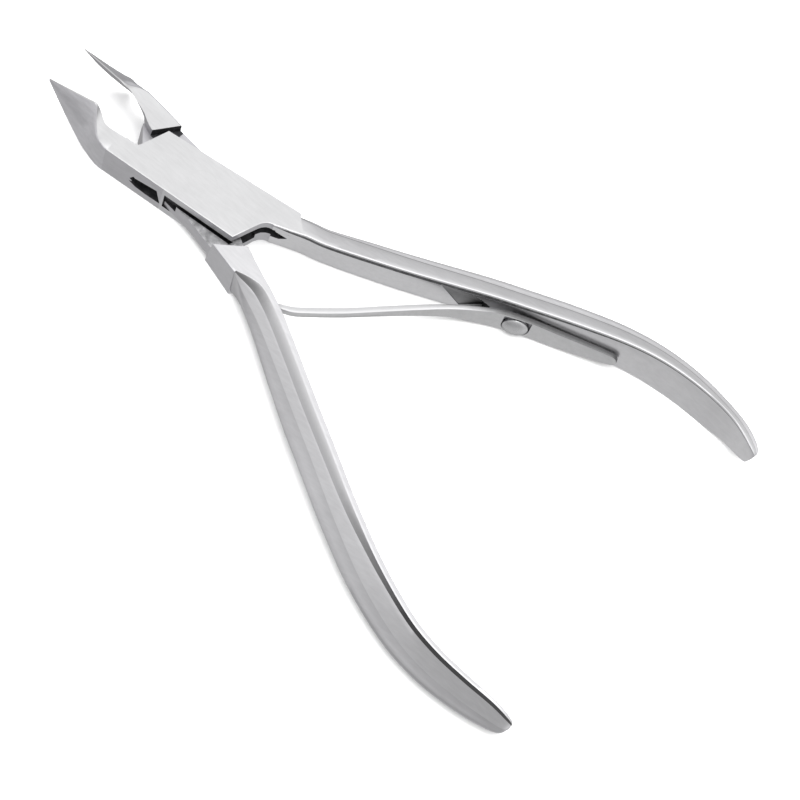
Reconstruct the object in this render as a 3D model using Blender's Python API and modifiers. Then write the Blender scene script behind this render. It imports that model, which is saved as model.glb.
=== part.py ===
"""Cuticle nipper with a box joint: two forged levers, a pivot rivet and a screwed-on leaf spring.

The object lies flat in the pose in which its spring holds it open. The pivot axis is the world
Z axis, the jaws point to -X, the handles to +X, and the underside rests on Z = 0.
"""

import math

import bmesh
import bpy
from mathutils import Matrix, Vector

MM = 0.001

# Stock and box joint, in millimetres.
BODY_HEIGHT = 6.0
PLATE_THICKNESS = 1.4
TONGUE_GAP = 0.05
TONGUE_LOW = PLATE_THICKNESS + TONGUE_GAP
TONGUE_HIGH = BODY_HEIGHT - PLATE_THICKNESS - TONGUE_GAP

# Pivot rivet, ground flush with both plates.
RIVET_RADIUS = 2.0
RIVET_FIT = 0.03
TONGUE_FIT = 0.06

# Jaws: the cutting edge runs from the heel to the tip, and the tongue lever's copy of it is
# the same line turned back by the angle that closes the nipper.
CLOSING_ANGLE = 15.0
EDGE_HEEL = Vector((-18.0, -1.95))
EDGE_TIP = Vector((-25.35, -3.3))
EDGE_HALF_GAP = 0.06

# Handles: flat inner face, D-shaped outside.
HANDLE_WIDTH = 4.6
HANDLE_STATIONS = 48
TAIL_STEPS = [0, 0.7, 2.0, 4.5, 8.5, 15, 26]
TAIL_WIDTH_SHARES = [0.22, 0.36, 0.45, 0.58, 0.74, 0.9, 1.0]
TAIL_END_STEPS = [0, 0.8, 1.8, 3.5, 6.0]
TAIL_HEIGHT_SHARES = [0.55, 0.8, 0.9, 0.97, 1.0]

# Leaf spring and its screw.
SPRING_MID_HEIGHT = 2.5
SPRING_HINGE = Vector((39.5, 15.0))
SPRING_SPLIT_GAP = 0.3
SCREW_PLACE = Vector((43.45, 17.68))
SCREW_HEIGHT = 2.75
SHANK_RADIUS = 1.0
SHANK_FIT = 0.05
SHANK_LENGTH = 3.4
HEAD_RADIUS = 1.85
HEAD_HEIGHT = 0.85
HEAD_RECESS_RADIUS = 2.15
HEAD_RECESS_DEPTH = 0.28
SEAT_RADIUS = 2.0
SEAT_GAP = 0.03

# Plate seen from above: front edge, throat notch and rear edge of the box lever.
BOX_OUTLINE = [
    (-12.65, -5.79), (8.26, -2.96), (9.6, 1.1), (10.15, 1.95), (11.0, 2.4), (15.4, 4.45),
    (13.4, 6.95), (12.3, 6.55), (-8.61, 2.62), (-9.55, -0.6), (-10.06, -2.11), (-11.9, -2.33),
]
SLOT_OUTLINE = [
    (-7.9, -8.0), (-7.9, -5.25), (-12.6, -2.3), (-14.5, -1.2), (-14.5, 9.0), (7.6, 9.0),
    (12.6, 2.5), (14.0, -8.0),
]
TONGUE_OUTLINE = [
    (-11.7, 0.3), (-9.5, -2.3), (-8.6, -2.75), (-5.5, -2.9), (-3.1, -4.35), (-1.4, -4.45),
    (1.6, -4.65), (3.5, -4.95), (6.0, -5.45), (8.0, -5.6), (12.0, -4.6), (10.75, -2.5),
    (8.5, -1.25), (5.0, 1.2), (1.5, 3.6), (-1.5, 4.3), (-4.1, 4.3), (-6.4, 4.4), (-9.0, 4.6),
    (-11.0, 4.6), (-12.5, 2.3),
]
SHOULDER_OUTLINE = [
    (6.9, -5.55), (8.6, -6.0), (11.8, -6.75), (12.9, -7.35), (15.2, -4.15), (13.3, -3.25),
    (11.6, -2.75), (10.79, -2.43),
]
JAW_ROOT_OUTLINE = [
    (-8.0, 4.6), (-11.6, 4.85), (-15.0, 4.95), (-16.0, 4.6), (-15.4, 2.95), (-14.2, 2.55),
    (-12.9, 2.15), (-11.6, 1.45), (-10.5, 1.0),
]

# Inner faces of the two handles, seen from above.
UPPER_INNER = [
    (12.5, 3.1), (18.2, 5.35), (24.0, 8.3), (30.0, 11.5), (38.0, 16.1), (43.4, 18.9),
    (50.3, 22.1), (57.3, 24.95), (63.0, 26.3), (69.0, 26.7), (74.6, 26.35), (79.3, 25.2),
]
LOWER_INNER = [
    (13.3, -3.25), (17.74, -5.18), (22.6, -7.6), (30.0, -11.55), (38.0, -15.8), (46.0, -19.75),
    (53.7, -23.1), (61.0, -25.95), (66.3, -27.15), (71.8, -27.5), (76.5, -27.5), (80.2, -27.7),
]

# Middle line of the leaf spring from its free end to its tail, with its thickness and its
# width (along Z) at each point.
SPRING_LINE = [
    (18.6, -4.75), (19.8, -4.2), (21.3, -3.15), (25.35, 0.9), (29.0, 5.0), (32.7, 9.1),
    (35.8, 12.2), (38.8, 14.55), (41.5, 16.45), (44.6, 18.25), (48.5, 20.3), (53.0, 22.55),
    (56.8, 24.2),
]
SPRING_THICKNESS = [0.6, 0.8, 0.9, 0.9, 0.88, 0.85, 0.75, 0.62, 0.52, 0.5, 0.5, 0.48, 0.42]
SPRING_WIDTH = [1.1, 1.25, 1.3, 1.35, 1.6, 2.0, 2.7, 3.6, 4.3, 4.3, 3.6, 2.7, 1.9]


def clear_scene():
    for item in list(bpy.data.objects):
        bpy.data.objects.remove(item, do_unlink=True)


def new_collection(name):
    collection = bpy.data.collections.new(name)
    bpy.context.scene.collection.children.link(collection)
    return collection


def steel(name, colour, roughness):
    material = bpy.data.materials.new(name)
    material.use_nodes = True
    shader = material.node_tree.nodes["Principled BSDF"]
    shader.inputs["Base Color"].default_value = (*colour, 1.0)
    shader.inputs["Metallic"].default_value = 1.0
    shader.inputs["Roughness"].default_value = roughness
    return material


def add_mesh_object(name, mesh, collection):
    item = bpy.data.objects.new(name, mesh)
    collection.objects.link(item)
    return item


def weld(mesh):
    """Join doubled vertices and turn every face outwards."""
    work = bmesh.new()
    work.from_mesh(mesh)
    bmesh.ops.remove_doubles(work, verts=work.verts, dist=1e-7)
    bmesh.ops.recalc_face_normals(work, faces=work.faces)
    work.to_mesh(mesh)
    work.free()


def outline_solid(name, points, low, high, collection):
    """A flat outline, given in millimetres, raised between two heights."""
    curve = bpy.data.curves.new(name, "CURVE")
    curve.dimensions = "2D"
    curve.fill_mode = "BOTH"
    curve.extrude = 0.5 * (high - low) * MM
    spline = curve.splines.new("POLY")
    spline.points.add(len(points) - 1)
    for point, place in zip(spline.points, points):
        point.co = (place[0] * MM, place[1] * MM, 0.0, 1.0)
    spline.use_cyclic_u = True
    flat = bpy.data.objects.new(name + "_curve", curve)
    flat.location.z = 0.5 * (high + low) * MM
    bpy.context.scene.collection.objects.link(flat)
    bpy.context.view_layer.update()
    graph = bpy.context.evaluated_depsgraph_get()
    mesh = bpy.data.meshes.new_from_object(flat.evaluated_get(graph))
    mesh.transform(flat.matrix_world)
    bpy.data.objects.remove(flat, do_unlink=True)
    weld(mesh)
    mesh.name = name
    return add_mesh_object(name, mesh, collection)


def cylinder(name, radius, low, high, place, collection, axis=None, sides=64):
    """A cylinder that runs from low to high along axis, both in millimetres."""
    mesh = bpy.data.meshes.new(name)
    work = bmesh.new()
    bmesh.ops.create_cone(
        work, cap_ends=True, segments=sides, radius1=radius * MM, radius2=radius * MM,
        depth=(high - low) * MM,
    )
    bmesh.ops.translate(work, verts=work.verts, vec=(0, 0, 0.5 * (low + high) * MM))
    work.to_mesh(mesh)
    work.free()
    item = add_mesh_object(name, mesh, collection)
    turn = Matrix.Identity(4)
    if axis is not None:
        turn = Vector((0, 0, 1)).rotation_difference(axis).to_matrix().to_4x4()
    mesh.transform(Matrix.Translation(Vector(place) * MM) @ turn)
    return item


def loft(name, sections, collection):
    """A closed solid through sections of equal point count, given in millimetres."""
    mesh = bpy.data.meshes.new(name)
    work = bmesh.new()
    rings = [[work.verts.new(Vector(point) * MM) for point in section] for section in sections]
    count = len(rings[0])
    for near, far in zip(rings, rings[1:]):
        for index in range(count):
            after = (index + 1) % count
            work.faces.new((near[index], near[after], far[after], far[index]))
    work.faces.new(rings[0])
    work.faces.new(rings[-1])
    bmesh.ops.recalc_face_normals(work, faces=work.faces)
    work.to_mesh(mesh)
    work.free()
    return add_mesh_object(name, mesh, collection)


def combine(target, tool, operation):
    """Apply one exact Boolean to target and remove the tool."""
    modifier = target.modifiers.new("cut", "BOOLEAN")
    modifier.operation = operation
    modifier.solver = "EXACT"
    modifier.object = tool
    bpy.context.view_layer.update()
    graph = bpy.context.evaluated_depsgraph_get()
    mesh = bpy.data.meshes.new_from_object(target.evaluated_get(graph))
    target.modifiers.clear()
    target.data = mesh
    bpy.data.objects.remove(tool, do_unlink=True)
    weld(target.data)


def smooth_path(points, steps):
    """Evenly spaced points, with tangents, on a Catmull-Rom curve through 2D points."""
    nodes = [Vector(point) for point in points]
    first = 2 * nodes[0] - nodes[1]
    last = 2 * nodes[-1] - nodes[-2]
    nodes = [first, *nodes, last]
    dense = []
    for a, b, c, d in zip(nodes, nodes[1:], nodes[2:], nodes[3:]):
        for step in range(20):
            t = step / 20
            place = 0.5 * (2 * b + (c - a) * t + (2 * a - 5 * b + 4 * c - d) * t * t)
            dense.append(place + 0.5 * (3 * b - a - 3 * c + d) * t * t * t)
    dense.append(nodes[-2])
    lengths = [0.0]
    for a, b in zip(dense, dense[1:]):
        lengths.append(lengths[-1] + (b - a).length)
    result = []
    index = 0
    for step in range(steps + 1):
        goal = lengths[-1] * step / steps
        while index < len(dense) - 2 and lengths[index + 1] < goal:
            index += 1
        span = lengths[index + 1] - lengths[index]
        share = (goal - lengths[index]) / span
        tangent = (dense[index + 1] - dense[index]).normalized()
        result.append((dense[index].lerp(dense[index + 1], share), tangent, goal))
    return result


def table_value(stations, values, where):
    """Linear reading of a value at a station between two known ones."""
    for (a, b), (x, y) in zip(zip(stations, stations[1:]), zip(values, values[1:])):
        if where <= b:
            share = max(0.0, (where - a) / (b - a))
            return x + (y - x) * share
    return values[-1]


def handle(name, inner, side, collection):
    """A handle along its inner face; side is +1 where the outside lies to the left."""
    block = [(0, 1), (0.2, 1), (0.45, 1), (0.7, 1), (0.95, 1), (1, 0.5), (0.95, 0), (0.7, 0)]
    block += [(0.45, 0), (0.2, 0), (0, 0)]
    dee = [(0, 1), (0.2, 0.995), (0.42, 0.87), (0.68, 0.71), (0.94, 0.57), (1, 0.5)]
    dee += [(0.94, 0.43), (0.68, 0.29), (0.42, 0.13), (0.2, 0.005), (0, 0)]
    path = smooth_path(inner, HANDLE_STATIONS)
    total = path[-1][2]
    sections = []
    for place, tangent, along in path:
        outward = Vector((-tangent.y, tangent.x)) * side
        share = min(1.0, along / 7.0)
        left = total - along
        width = HANDLE_WIDTH * table_value(TAIL_STEPS, TAIL_WIDTH_SHARES, left)
        width *= table_value([0, 8, 22], [0.9, 0.92, 1.0], along)
        height = BODY_HEIGHT * table_value(TAIL_END_STEPS, TAIL_HEIGHT_SHARES, left)
        section = []
        for (n0, z0), (n1, z1) in zip(block, dee):
            offset = width * (n0 + (n1 - n0) * share)
            level = 0.5 * BODY_HEIGHT + height * (z0 + (z1 - z0) * share - 0.5)
            spot = place + outward * offset
            section.append((spot.x, spot.y, level))
        sections.append(section)
    return loft(name, sections, collection)


def edge_frame(turned):
    """Heel, direction and outward side of a cutting edge; turned is the tongue lever's."""
    heel = EDGE_HEEL.copy()
    direction = (EDGE_TIP - EDGE_HEEL).normalized()
    outward = Vector((-direction.y, direction.x))
    if not turned:
        return heel, direction, outward
    back = Matrix.Rotation(math.radians(-CLOSING_ANGLE), 2)
    return back @ heel, back @ direction, -(back @ outward)


def jaw(name, turned, collection):
    """One jaw: sections across the cutting edge from the throat to the tip."""
    heel, direction, outward = edge_frame(turned)
    gap = EDGE_HALF_GAP
    # Distance along the edge from the heel, then (offset, height) from the edge outwards over
    # the bevel to the underside and back up the hollow inner face.
    stations = [
        (7.45, [(gap, 5.3), (0.16, 5.28), (0.26, 5.2), (0.26, 5.1), (0.16, 5.1), (gap, 5.2)]),
        (5.6, [(gap, 5.75), (0.5, 5.45), (0.85, 4.8), (0.9, 3.9), (0.55, 4.0), (0.2, 5.0)]),
        (3.4, [(gap, 6.28), (0.8, 5.75), (1.55, 4.6), (1.8, 2.5), (1.15, 2.6), (0.45, 4.7)]),
        (1.3, [(gap, 6.78), (1.15, 6.0), (2.35, 4.4), (2.75, 1.3), (1.8, 1.3), (0.8, 4.3)]),
        (0.0, [(gap, 7.1), (1.4, 6.15), (2.75, 4.4), (3.3, 0.7), (2.1, 0.7), (0.95, 4.2)]),
    ]
    if turned:
        stations += [
            (-1.7, [(0.5, 6.3), (1.5, 6.05), (2.1, 5.9), (2.0, 0.4), (0.9, 0.4), (0.55, 3.5)]),
            (-4.0, [(0.0, 6.0), (1.0, 6.0), (2.2, 6.0), (2.2, 0.0), (1.0, 0.0), (0.0, 3.0)]),
        ]
    else:
        stations += [
            (-1.5, [(1.05, 6.5), (2.2, 6.15), (3.6, 5.0), (3.85, 0.3), (2.2, 0.3), (1.2, 3.5)]),
            (-2.9, [(1.65, 6.1), (2.6, 6.05), (4.2, 6.0), (4.25, 0.0), (2.2, 0.0), (1.65, 3.0)]),
            (-4.6, [(1.7, 6.0), (3.0, 6.0), (4.74, 6.0), (4.74, 0.0), (3.0, 0.0), (1.7, 3.0)]),
            (-7.0, [(1.8, 6.0), (3.0, 6.0), (4.6, 6.0), (4.6, 0.0), (3.0, 0.0), (1.8, 3.0)]),
        ]
    sections = []
    for along, profile in stations:
        section = []
        for offset, level in profile:
            spot = heel + direction * along + outward * offset
            section.append((spot.x, spot.y, level))
        sections.append(section)
    return loft(name, sections, collection)


def inner_face_at(points, where):
    """Place and outward direction on a handle's inner face at a given X."""
    for a, b in zip(points, points[1:]):
        if where <= b[0]:
            share = (where - a[0]) / (b[0] - a[0])
            run = Vector((b[0] - a[0], b[1] - a[1])).normalized()
            place = Vector((where, a[1] + (b[1] - a[1]) * share))
            return place, Vector((-run.y, run.x))
    raise ValueError("outside the handle")


def build_box_lever(parts):
    """Front jaw, slotted box and upper handle: one forging."""
    lever = outline_solid("box_lever", BOX_OUTLINE, 0.0, BODY_HEIGHT, parts)
    combine(lever, jaw("jaw", False, parts), "UNION")
    combine(lever, handle("handle", UPPER_INNER, 1, parts), "UNION")
    slot_top = BODY_HEIGHT - PLATE_THICKNESS
    slot = outline_solid("slot", SLOT_OUTLINE, PLATE_THICKNESS, slot_top, parts)
    combine(lever, slot, "DIFFERENCE")
    hole_radius = RIVET_RADIUS + RIVET_FIT
    hole = cylinder("rivet_hole", hole_radius, -1.0, BODY_HEIGHT + 1.0, (0, 0, 0), parts)
    combine(lever, hole, "DIFFERENCE")
    face, outward = inner_face_at(UPPER_INNER, 37.0)
    hollow_radius = 12.0
    centre = face - outward * (hollow_radius - 0.75)
    scoop = cylinder("scoop", hollow_radius, 1.0, 5.1, (centre.x, centre.y, 0), parts, sides=96)
    combine(lever, scoop, "DIFFERENCE")
    axis, seat = screw_axis()
    back = spring_back_at_screw()
    pad_top = back - SEAT_GAP
    pad = cylinder("seat", SEAT_RADIUS, pad_top - 3.0, pad_top, seat, parts, axis, 32)
    combine(lever, pad, "UNION")
    hole_radius = SHANK_RADIUS + SHANK_FIT
    depth = back - SHANK_LENGTH
    hole = cylinder("screw_hole", hole_radius, depth, back + 1.0, seat, parts, axis, 32)
    combine(lever, hole, "DIFFERENCE")
    return lever


def build_tongue_lever(parts):
    """Back jaw, thin tongue through the box and lower handle: one forging."""
    lever = outline_solid("tongue_lever", TONGUE_OUTLINE, TONGUE_LOW, TONGUE_HIGH, parts)
    combine(lever, outline_solid("jaw_root", JAW_ROOT_OUTLINE, 0.0, BODY_HEIGHT, parts), "UNION")
    combine(lever, jaw("jaw", True, parts), "UNION")
    combine(lever, outline_solid("shoulder", SHOULDER_OUTLINE, 0.0, BODY_HEIGHT, parts), "UNION")
    combine(lever, handle("handle", LOWER_INNER, -1, parts), "UNION")
    hole_radius = RIVET_RADIUS + TONGUE_FIT
    hole = cylinder("rivet_hole", hole_radius, -1.0, BODY_HEIGHT + 1.0, (0, 0, 0), parts)
    combine(lever, hole, "DIFFERENCE")
    return lever


def build_rivet(parts):
    return cylinder("pivot_rivet", RIVET_RADIUS, 0.0, BODY_HEIGHT, (0, 0, 0), parts)


def spring_path():
    """Middle line of the spring with the thickness and width at each step."""
    steps = 44
    path = smooth_path(SPRING_LINE, steps)
    stations = [0.0]
    for a, b in zip(SPRING_LINE, SPRING_LINE[1:]):
        stations.append(stations[-1] + math.dist(a, b))
    scale = path[-1][2] / stations[-1]
    stations = [value * scale for value in stations]
    result = []
    for place, tangent, along in path:
        thickness = table_value(stations, SPRING_THICKNESS, along)
        width = table_value(stations, SPRING_WIDTH, along)
        result.append((place, tangent, thickness, width))
    return result


def screw_axis():
    """Axis of the screw, pointing out of the handle, and a point on it in the spring."""
    place, tangent, _, _ = min(spring_path(), key=lambda item: (item[0] - SCREW_PLACE).length)
    axis = Vector((tangent.y, -tangent.x, 0.0))
    return axis, Vector((place.x, place.y, SCREW_HEIGHT))


def spring_back_at_screw():
    """Position of the spring's back along the screw axis."""
    _, _, thickness, _ = min(spring_path(), key=lambda item: (item[0] - SCREW_PLACE).length)
    return -0.5 * thickness


def leaf(name, steps, collection):
    """A stretch of the spring as a loft of rectangles."""
    sections = []
    for place, tangent, thickness, width in steps:
        across = Vector((-tangent.y, tangent.x)) * (0.5 * thickness)
        back = place + across
        front = place - across
        low = SPRING_MID_HEIGHT - 0.5 * width
        high = SPRING_MID_HEIGHT + 0.5 * width
        section = [(back.x, back.y, low), (front.x, front.y, low)]
        section += [(front.x, front.y, high), (back.x, back.y, high)]
        sections.append(section)
    return loft(name, sections, collection)


def build_spring(parts):
    """The leaf in two stretches that meet at the bend which stands in for its flexing."""
    path = spring_path()
    arm = []
    root = []
    for item in path:
        along = (item[0] - SPRING_HINGE).dot(item[1])
        if along < -0.5 * SPRING_SPLIT_GAP:
            arm.append(item)
        elif along > 0.5 * SPRING_SPLIT_GAP:
            root.append(item)
    seam = min(path, key=lambda item: (item[0] - SPRING_HINGE).length)
    offset = 0.5 * SPRING_SPLIT_GAP
    ahead = SPRING_HINGE - seam[1] * offset
    behind = SPRING_HINGE + seam[1] * offset
    arm.append((ahead, seam[1], seam[2], seam[3]))
    root.insert(0, (behind, seam[1], seam[2], seam[3]))
    spring_arm = leaf("spring_arm", arm, parts)
    spring_root = leaf("spring_root", root, parts)
    axis, seat = screw_axis()
    hole = cylinder("hole", SHANK_RADIUS + SHANK_FIT, -3.0, 3.0, seat, parts, axis, 32)
    combine(spring_root, hole, "DIFFERENCE")
    front = -spring_back_at_screw()
    floor = front - HEAD_RECESS_DEPTH
    recess = cylinder("recess", HEAD_RECESS_RADIUS, floor, front + 2.0, seat, parts, axis, 48)
    combine(spring_root, recess, "DIFFERENCE")
    return spring_arm, spring_root


def build_screw(parts):
    """Shank and low domed head, turned about the screw axis."""
    axis, seat = screw_axis()
    floor = -spring_back_at_screw() - HEAD_RECESS_DEPTH + SEAT_GAP
    tail = spring_back_at_screw() - SHANK_LENGTH + 0.3
    profile = [(0.0, tail), (SHANK_RADIUS, tail), (SHANK_RADIUS, floor), (HEAD_RADIUS, floor)]
    profile.append((HEAD_RADIUS, floor + 0.3 * HEAD_HEIGHT))
    for step in range(1, 6):
        turn = 0.5 * math.pi * step / 6
        profile.append((HEAD_RADIUS * math.cos(turn), floor + HEAD_HEIGHT * (0.3 + 0.7 * math.sin(turn))))
    profile.append((0.0, floor + HEAD_HEIGHT))
    mesh = bpy.data.meshes.new("spring_screw")
    work = bmesh.new()
    points = [work.verts.new((radius * MM, 0, level * MM)) for radius, level in profile]
    for a, b in zip(points, points[1:]):
        work.edges.new((a, b))
    work.to_mesh(mesh)
    work.free()
    screw = add_mesh_object("spring_screw", mesh, parts)
    turned = screw.modifiers.new("turn", "SCREW")
    turned.axis = "Z"
    turned.angle = 2 * math.pi
    turned.steps = 40
    turned.render_steps = 40
    turned.use_merge_vertices = True
    turned.merge_threshold = 1e-6
    bpy.context.view_layer.update()
    graph = bpy.context.evaluated_depsgraph_get()
    solid = bpy.data.meshes.new_from_object(screw.evaluated_get(graph))
    screw.modifiers.clear()
    screw.data = solid
    weld(solid)
    turn = Vector((0, 0, 1)).rotation_difference(axis).to_matrix().to_4x4()
    solid.transform(Matrix.Translation(seat * MM) @ turn)
    return screw


def put_on_axis(item, place, parts, name):
    """Parent a moving piece to an empty on its joint's axis."""
    empty = bpy.data.objects.new(name, None)
    empty.empty_display_size = 0.005
    empty.location = place
    parts.objects.link(empty)
    item.parent = empty
    item.matrix_parent_inverse = Matrix.Translation(-Vector(place))


def main():
    clear_scene()
    parts = new_collection("cuticle_nipper")
    box_lever = build_box_lever(parts)
    tongue_lever = build_tongue_lever(parts)
    rivet = build_rivet(parts)
    spring_arm, spring_root = build_spring(parts)
    screw = build_screw(parts)
    forged = (0.62, 0.62, 0.63)
    box_lever.data.materials.append(steel("box_lever_steel", forged, 0.32))
    tongue_lever.data.materials.append(steel("tongue_lever_steel", forged, 0.33))
    rivet.data.materials.append(steel("rivet_steel", forged, 0.3))
    spring_arm.data.materials.append(steel("spring_arm_steel", (0.7, 0.7, 0.71), 0.28))
    spring_root.data.materials.append(steel("spring_root_steel", (0.7, 0.7, 0.71), 0.3))
    screw.data.materials.append(steel("screw_steel", (0.6, 0.6, 0.61), 0.25))
    put_on_axis(tongue_lever, (0, 0, 0), parts, "lever_pivot_axis")
    hinge = (SPRING_HINGE.x * MM, SPRING_HINGE.y * MM, 0)
    put_on_axis(spring_arm, hinge, parts, "spring_flex_axis")


main()
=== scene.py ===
"""Cuticle nipper: the look of every piece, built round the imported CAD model.

All shapes are given in millimetres in the CAD frame: the pivot axis is the Z axis, the jaws
point to -X, the handles to +X, and the nipper lies on Z = 0.
"""

import math

import bmesh
import bpy
import numpy as np
from mathutils import Matrix, Vector


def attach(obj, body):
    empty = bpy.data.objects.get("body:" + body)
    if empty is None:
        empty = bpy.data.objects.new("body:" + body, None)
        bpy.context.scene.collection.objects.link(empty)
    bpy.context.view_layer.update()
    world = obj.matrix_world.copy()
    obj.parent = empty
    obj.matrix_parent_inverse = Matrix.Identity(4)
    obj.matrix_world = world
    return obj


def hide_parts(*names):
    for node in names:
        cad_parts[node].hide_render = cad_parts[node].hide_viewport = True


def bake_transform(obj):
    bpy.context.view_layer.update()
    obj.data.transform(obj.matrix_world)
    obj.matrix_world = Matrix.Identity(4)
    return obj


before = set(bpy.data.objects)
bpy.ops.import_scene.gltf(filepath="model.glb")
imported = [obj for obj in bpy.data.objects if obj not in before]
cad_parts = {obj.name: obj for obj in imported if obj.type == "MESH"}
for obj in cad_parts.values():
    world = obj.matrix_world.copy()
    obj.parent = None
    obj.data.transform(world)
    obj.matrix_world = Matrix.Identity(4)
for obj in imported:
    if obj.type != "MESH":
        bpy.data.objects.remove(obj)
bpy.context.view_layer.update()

MM = 0.001
HEIGHT = 6.0
PLATE = 1.4
SLOT_LOW = PLATE
SLOT_HIGH = HEIGHT - PLATE
TONGUE_LOW = 1.45
TONGUE_HIGH = 4.5
EDGE_WORN = 0.17
RIVET_RADIUS = 2.0
RIVET_SEAM = 0.004
RIVET_CLEARANCE = 0.06
RIVET_STEPS = 96
SHARP_ANGLE = 32.0


# ---------------------------------------------------------------- curves and tables


def tangents(xs, ys):
    """Slopes of a monotone cubic through a table; ys may hold rows of values."""
    step = np.diff(xs)
    shape = (-1,) + (1,) * (ys.ndim - 1)
    rise = np.diff(ys, axis=0) / step.reshape(shape)
    slope = np.zeros_like(ys)
    slope[0] = rise[0]
    slope[-1] = rise[-1]
    before = rise[:-1]
    after = rise[1:]
    same = before * after > 0
    mean = 2 * before * after / np.where(same, before + after, 1.0)
    slope[1:-1] = np.where(same, mean, 0.0)
    return slope


def smooth_value(xs, ys, where):
    """Value of the monotone cubic through a table at one place."""
    xs = np.asarray(xs, float)
    ys = np.asarray(ys, float)
    where = min(max(where, xs[0]), xs[-1])
    index = min(max(int(np.searchsorted(xs, where)) - 1, 0), len(xs) - 2)
    slope = tangents(xs, ys)
    step = xs[index + 1] - xs[index]
    t = (where - xs[index]) / step
    near = (1 + 2 * t) * (1 - t) ** 2
    far = t * t * (3 - 2 * t)
    value = near * ys[index] + far * ys[index + 1]
    value = value + t * (1 - t) ** 2 * step * slope[index]
    return value - t * t * (1 - t) * step * slope[index + 1]


def pairs_value(table, where):
    """smooth_value for a table written as (place, value) pairs."""
    xs, ys = zip(*table)
    return float(smooth_value(xs, ys, where))


def through(points, per_span):
    """Catmull-Rom curve through points of any dimension, as an array."""
    nodes = [np.asarray(point, float) for point in points]
    nodes = [2 * nodes[0] - nodes[1], *nodes, 2 * nodes[-1] - nodes[-2]]
    dense = []
    for a, b, c, d in zip(nodes, nodes[1:], nodes[2:], nodes[3:]):
        for step in range(per_span):
            t = step / per_span
            place = 2 * b + (c - a) * t + (2 * a - 5 * b + 4 * c - d) * t * t
            dense.append(0.5 * (place + (3 * b - a - 3 * c + d) * t**3))
    dense.append(nodes[-2])
    return np.array(dense)


def even_path(points, places):
    """Points and tangents at the given shares of a smooth curve's length, with the length."""
    dense = through(points, 24)
    lengths = np.concatenate([[0.0], np.cumsum(np.linalg.norm(np.diff(dense, axis=0), axis=1))])
    result = []
    for share in places:
        goal = share * lengths[-1]
        index = min(max(int(np.searchsorted(lengths, goal)) - 1, 0), len(dense) - 2)
        span = lengths[index + 1] - lengths[index]
        t = (goal - lengths[index]) / span
        place = dense[index] * (1 - t) + dense[index + 1] * t
        before = dense[max(index - 8, 0)]
        after = dense[min(index + 9, len(dense) - 1)]
        run = (after - before) / np.linalg.norm(after - before)
        result.append((place, run, goal))
    return result, lengths[-1]


# ---------------------------------------------------------------- mesh building


def add_piece(name, mesh):
    piece = bpy.data.objects.new(name, mesh)
    bpy.context.scene.collection.objects.link(piece)
    return piece


def tidy(mesh):
    work = bmesh.new()
    work.from_mesh(mesh)
    bmesh.ops.remove_doubles(work, verts=work.verts, dist=2e-7)
    bmesh.ops.dissolve_degenerate(work, edges=work.edges, dist=1e-7)
    bmesh.ops.recalc_face_normals(work, faces=work.faces)
    work.to_mesh(mesh)
    work.free()


def loft(name, rings, paint=None):
    """A closed solid through rings of equal point count; paint gives a material by column."""
    mesh = bpy.data.meshes.new(name)
    work = bmesh.new()
    made = [[work.verts.new(Vector(map(float, point)) * MM) for point in ring] for ring in rings]
    count = len(made[0])
    for near, far in zip(made, made[1:]):
        for index in range(count):
            after = (index + 1) % count
            face = work.faces.new((near[index], near[after], far[after], far[index]))
            if paint is not None:
                face.material_index = paint.get(index, 0)
    work.faces.new(made[0])
    work.faces.new(made[-1])
    work.to_mesh(mesh)
    work.free()
    tidy(mesh)
    return add_piece(name, mesh)


def inset(points, distance):
    """A closed outline moved inwards; the points run anticlockwise."""
    if not distance:
        return list(points)
    moved = []
    count = len(points)
    for index in range(count):
        here = Vector(points[index])
        back = (here - Vector(points[index - 1])).normalized()
        ahead = (Vector(points[(index + 1) % count]) - here).normalized()
        left_back = Vector((-back.y, back.x))
        left_ahead = Vector((-ahead.y, ahead.x))
        middle = left_back + left_ahead
        if middle.length < 0.2:
            middle = left_back
        middle.normalize()
        stretch = 1 / max(middle.dot(left_back), 0.45)
        moved.append(here + middle * (distance * stretch))
    return moved


def prism(name, points, low, high, worn=0.0, low_shift=None):
    """An outline raised between two heights; worn rims get a shallow and a steep chamfer."""
    shifts = low_shift or {}
    outline = [Vector(point) for point in points]
    lower = [Vector(point) + Vector(shifts.get(tuple(point), (0.0, 0.0))) for point in points]
    rings = []
    if worn:
        rim = ((0.0, worn), (0.26 * worn, 0.12 * worn), (0.55 * worn, 0.0))
        for level, back in rim:
            rings.append([(p.x, p.y, low + level) for p in inset(lower, back)])
        rings.append([(p.x, p.y, low + 0.4 * (high - low)) for p in lower])
        rings.append([(p.x, p.y, low + 0.75 * (high - low)) for p in outline])
        for level, back in reversed(rim):
            rings.append([(p.x, p.y, high - level) for p in inset(outline, back)])
    else:
        for level in (low, high):
            rings.append([(p.x, p.y, level) for p in outline])
    return loft(name, rings)


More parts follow.
